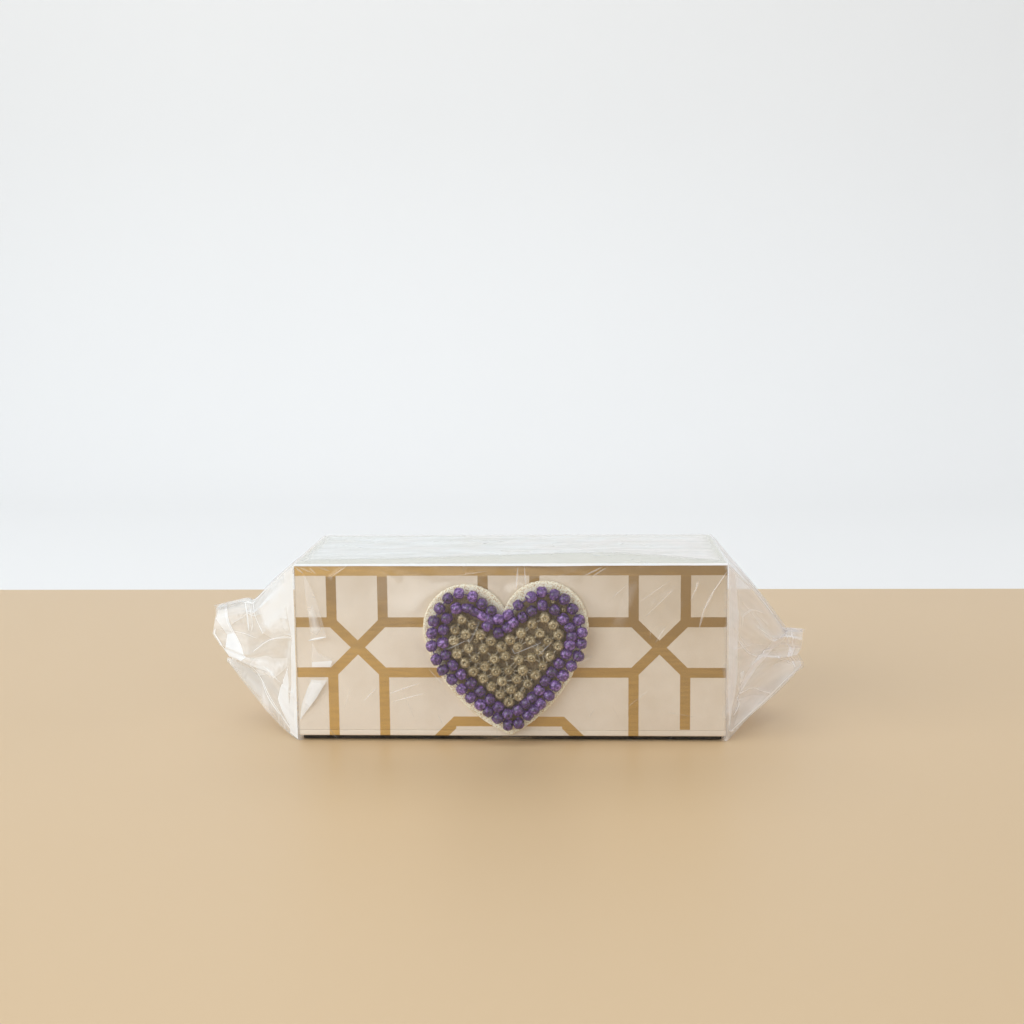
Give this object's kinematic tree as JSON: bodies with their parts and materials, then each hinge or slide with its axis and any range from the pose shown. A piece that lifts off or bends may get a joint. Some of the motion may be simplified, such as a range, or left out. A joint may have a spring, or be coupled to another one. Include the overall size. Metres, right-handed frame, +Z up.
{
  "type": "keepsake box",
  "caption": "Rectangular board keepsake box with a lift-off lid, a beaded felt heart on its front and a clear film wrap gathered at both ends.",
  "frame": {"origin": "middle of the underside of the film, on the surface that the wrapped box stands on, below the middle of the box", "axes": "+X along the box to the viewer's right, -Y out of the front with the heart, +Z up"},
  "size_m": [0.2335, 0.0773, 0.0674],
  "materials": {
    "ivory_board": "ivory paper over grey board, gold lines printed on the rim",
    "printed_board": "ivory paper over grey board, printed with a flat gold trellis",
    "cream_felt": "cut wool felt, matt and slightly fuzzy",
    "purple_bead": "opaque purple glass, satin with small highlights",
    "gold_bead": "olive gold metallic coat, satin",
    "clear_film": "clear thin film, glossy, with creases"
  },
  "bodies": {
    "root": {"base_tray": "ivory_board", "lid": "printed_board", "heart_backing": "cream_felt", "outer_bead_row": "purple_bead", "inner_bead_row": "purple_bead", "gold_bead_rows": "gold_bead", "film_wrap": "clear_film"}
  },
  "joints": []
}
